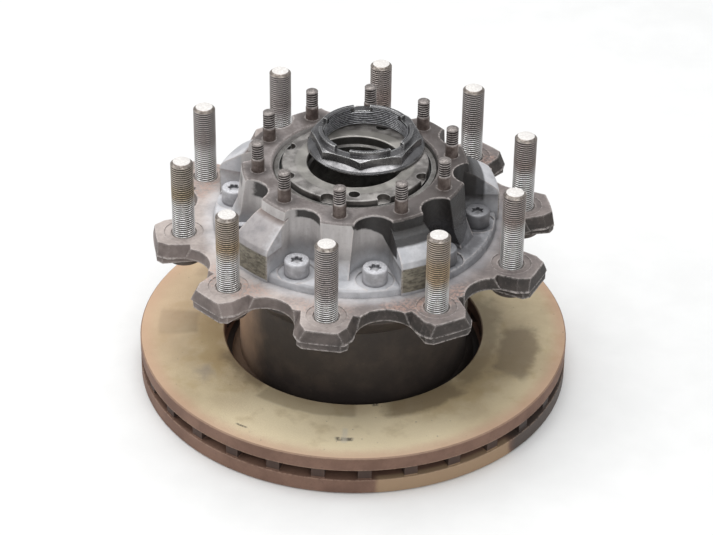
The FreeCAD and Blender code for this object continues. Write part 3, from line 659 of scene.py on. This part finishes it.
def ground_material():
    """A plain pale floor."""
    t = Tree("floor_pale")
    color = t.mix(t.step(t.noise(60, 4), 0.3, 0.7), (0.80, 0.80, 0.79, 1), (0.83, 0.83, 0.82, 1))
    return t.finish(color, 0.75)


def dress(names, material):
    """Puts one material on every face of the named nodes."""
    for name in names:
        for entry in nodes[name].material_slots:
            entry.material = material


def dress_castings_and_bearing():
    bearing = turned_steel("bearing_ground", (104, 101, 98), (162, 159, 154), 0.3, seed=3, glint=0.5)
    roller = turned_steel("roller_ground", (140, 140, 140), (176, 176, 176), 0.25, seed=5)
    tone = turned_steel("tone_ring_dull", (92, 84, 80), (120, 110, 104), 0.5, 0.6, seed=6)
    nut = turned_steel("nut_dark_oily", (100, 99, 100), (138, 137, 138), 0.2, 0.85, seed=7, glint=0.9)
    dress(["hub_casting"], HubIron().dressed())
    dress(["brake_disc"], DiscIron().dressed())
    dress(["bearing_outer_ring", "inner_ring_outboard", "inner_ring_inboard"], bearing)
    dress(["roller_row_outboard", "roller_row_inboard"], roller)
    dress(["seal_outboard", "seal_inboard"], rubber_material())
    dress(["abs_tone_ring"], tone)
    dress(["notched_washer"], washer_material())
    dress(["axle_nut"], nut)


def mesh_piece(name, points, faces, material, body, slot, sharp=50.0):
    """A smooth-shaded piece from points in millimetres, with its sharp edges kept."""
    mesh = bpy.data.meshes.new(name)
    mesh.from_pydata([tuple(c * MM for c in point) for point in points], [], faces)
    mesh.validate()
    for polygon in mesh.polygons:
        polygon.use_smooth = True
    work = bmesh.new()
    work.from_mesh(mesh)
    for edge in work.edges:
        if len(edge.link_faces) == 2 and edge.calc_face_angle() > math.radians(sharp):
            edge.smooth = False
    work.to_mesh(mesh)
    work.free()
    mesh.materials.append(material)
    piece = bpy.data.objects.new(name, mesh)
    bpy.context.scene.collection.objects.link(piece)
    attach(piece, body)
    return piece


def closed_skin(rows):
    """Points and faces of a closed skin through rows of points of equal length."""
    points = [point for row in rows for point in row]
    count = len(rows[0])
    faces = []
    for i in range(len(rows) - 1):
        for k in range(count):
            a, b = i * count + k, i * count + (k + 1) % count
            faces.append((a, b, b + count, a + count))
    faces.append(tuple(reversed(range(count))))
    start = (len(rows) - 1) * count
    faces.append(tuple(range(start, start + count)))
    return points, faces


def polar(circle, angle):
    """The point on a circle at an angle in degrees."""
    return circle * math.cos(math.radians(angle)), circle * math.sin(math.radians(angle))


def ring_row(centre, reach, z, around, turn=0.0):
    """One row of points round an axis; reach is a radius or a function of the angle."""
    row = []
    for k in range(around):
        angle = 2 * math.pi * k / around
        r = reach(angle) if callable(reach) else reach
        row.append((centre[0] + r * math.cos(angle + turn), centre[1] + r * math.sin(angle + turn), z))
    return row


def thread_cut(phase, crest, root):
    """Depth of a thread from 0 at its crest to 1 at its root, for a phase from 0 to 1."""
    flank = (1.0 - crest - root) / 2
    if phase < crest:
        return 0.0
    if phase < crest + flank:
        return (phase - crest) / flank
    if phase < crest + flank + root:
        return 1.0
    return (1.0 - phase) / flank


def thread_rows(centre, low, high, radius, depth, pitch, around, crest=0.2, root=0.3, fade=1.5):
    """Rows of points up a threaded rod; a negative depth cuts outwards, as in a nut."""
    rows = []
    count = int((high - low) / pitch * 8)
    for i in range(count + 1):
        z = low + (high - low) * i / count
        blend = min(1.0, (z - low) / fade, (high - z) / fade)

        def reach(angle):
            phase = (z / pitch - angle / (2 * math.pi)) % 1.0
            return radius - depth * thread_cut(phase, crest, root) * blend

        rows.append(ring_row(centre, reach, z, around))
    return rows


def wheel_stud(number, material):
    """A headed stud up through its ear, threaded above the flange."""
    name = f"wheel_stud_{number + 1:02d}"
    centre = polar(WHEEL_CIRCLE, FIRST + STEP * number)
    head = FLANGE - EAR_DEPTH
    top = FLANGE + WHEEL_STUD_REACH
    shank = [(17.0, head - 9), (18.5, head - 7.5), (18.5, head - 0.3), (18.2, head), (11.4, head),
             (11.4, FLANGE - 4.3), (11.0, FLANGE - 2.1)]
    end = [(10.9, top - 2.5), (9.0, top - 0.6), (8.4, top - 0.1), (8.2, top)]
    rows = [ring_row(centre, r, z, 36) for r, z in shank]
    rows += thread_rows(centre, FLANGE - 1.5, top - 2.8, WHEEL_STUD_RADIUS, 1.2, 2.35, 36)
    rows += [ring_row(centre, r, z, 36) for r, z in end]
    piece = mesh_piece(name + "_threaded", *closed_skin(rows), material, "hub", "wheel_stud_steel")
    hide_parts(name)


def axle_stud(number, material):
    """A short stud in the tower's top, with a plain collar below its thread."""
    name = f"axle_stud_{number + 1:02d}"
    centre = polar(AXLE_CIRCLE, FIRST + STEP * number)
    top = TOWER + AXLE_STUD_REACH
    collar = [(6.35, TOWER - AXLE_STUD_DEPTH), (6.35, TOWER + 12.0), (6.2, TOWER + 12.6),
              (5.6, TOWER + 13.4)]
    end = [(5.6, top - 1.1), (4.6, top - 0.45), (2.6, top - 0.1)]
    rows = [ring_row(centre, r, z, 28) for r, z in collar]
    rows += thread_rows(centre, TOWER + 13.6, top - 1.6, AXLE_STUD_RADIUS, 0.95, 2.5, 28, fade=1.0)
    rows += [ring_row(centre, r, z, 28) for r, z in end]
    piece = mesh_piece(name + "_threaded", *closed_skin(rows), material, "hub", "axle_stud_steel")
    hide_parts(name)


def disc_screw(number, material):
    """A cylinder-head screw with a rounded six-lobed recess, each turned its own way."""
    name = f"disc_screw_{number + 1:02d}"
    centre = polar(SCREW_CIRCLE, STEP * (number + 1))
    turn = math.radians(17.0 * number)
    head = [(7, -40), (8, -39), (8, 0), (11.7, 0), (12, 0.4), (12, 13.6), (11.8, 14.5), (11.3, 15.2),
            (10.6, 15.5)]
    recess = [(0.5, 15.5), (0.0, 15.0), (0.0, 12.2)]

    def lobed(extra):
        return lambda angle: 5.2 + 0.9 * math.cos(6 * angle) + extra

    rows = [ring_row(centre, r, SCREW_SEAT + z, 72, turn) for r, z in head]
    rows += [ring_row(centre, lobed(extra), SCREW_SEAT + z, 72, turn) for extra, z in recess]
    rows.append(ring_row(centre, 3.2, SCREW_SEAT + 11.6, 72, turn))
    piece = mesh_piece(name + "_lobed", *closed_skin(rows), material, "hub", "screw_steel", 40.0)
    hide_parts(name)


def nut_thread():
    """The thread inside the nut, left out where the crown has its five gaps."""
    low, high = (corner[2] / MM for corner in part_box("axle_nut"))
    crown = low + 15.0
    around = 180
    first_gap = 32.0
    gap_step = 72.0
    half_gap = 15.5
    rows = thread_rows(NUT_CENTRE, low + 1.6, high - 1.6, NUT_BORE - 1.3, -1.1, 2.0, around,
                       crest=0.25, root=0.35, fade=0.6)
    points = [point for row in rows for point in row]
    faces = []
    for i in range(len(rows) - 1):
        for k in range(around):
            from_gap = (k * 360 / around - first_gap + gap_step / 2) % gap_step - gap_step / 2
            if rows[i + 1][0][2] > crown and abs(from_gap) < half_gap:
                continue
            a, b = i * around + k, i * around + (k + 1) % around
            faces.append((a, a + around, b + around, b))
    material = nut_thread_material()
    piece = mesh_piece("nut_thread", points, faces, material, "inner_race", "nut_steel", 80.0)
    wall = piece.modifiers.new("wall", "SOLIDIFY")
    wall.thickness = 0.15 * MM
    wall.offset = 0.0


def fasteners():
    """The studs and screws; a wheel stud has a height where its bright part ends, and a colour above."""
    gold, olive, brown, mauve = (208, 184, 152), (196, 178, 150), (190, 172, 163), (196, 186, 181)
    looks = [(43, brown), (29, mauve), (30, brown), (31, mauve), (36, mauve),
             (38, olive), (37, gold), (22, mauve), (27, gold), (45, brown)]
    axle, screw = axle_stud_material(), screw_material()
    for number, (split, worn) in enumerate(looks):
        wheel_stud(number, wheel_stud_material(number, split, worn))
        axle_stud(number, axle)
        disc_screw(number, screw)


def stage():
    """The floor, a hair below the disc."""
    half = 8.0
    corners = [(-half, -half, 0), (half, -half, 0), (half, half, 0), (-half, half, 0)]
    mesh = bpy.data.meshes.new("floor")
    mesh.from_pydata(corners, [], [(0, 1, 2, 3)])
    mesh.materials.append(ground_material())
    floor = bpy.data.objects.new("floor", mesh)
    floor.location = (0, 0, -0.0003)
    bpy.context.scene.collection.objects.link(floor)


def lamp(name, place, size, power):
    """A soft lamp aimed at the middle of the hub."""
    data = bpy.data.lights.new(name, "AREA")
    data.shape = "RECTANGLE"
    data.size, data.size_y = size
    data.energy = power
    item = bpy.data.objects.new(name, data)
    item.location = place
    item.rotation_mode = "QUATERNION"
    item.rotation_quaternion = (Vector((0, 0, 0.12)) - Vector(place)).to_track_quat("-Z", "Y")
    bpy.context.scene.collection.objects.link(item)


def lighting():
    """A pale even surround and three soft lamps."""
    world = bpy.data.worlds.new("world")
    world.use_nodes = True
    back = world.node_tree.nodes["Background"]
    back.inputs["Color"].default_value = (0.95, 0.97, 1.0, 1)
    back.inputs["Strength"].default_value = 0.42
    bpy.context.scene.world = world
    lamp("overhead", (-0.25, 0.35, 2.3), (2.4, 2.0), 52)
    lamp("front", (0.9, -2.2, 1.7), (1.6, 1.2), 20)
    lamp("left", (-2.2, -0.6, 1.3), (1.4, 1.2), 12)


photo_camera()
dress_castings_and_bearing()
fasteners()
nut_thread()
stage()
lighting()
bpy.context.scene.view_settings.view_transform = "Standard"
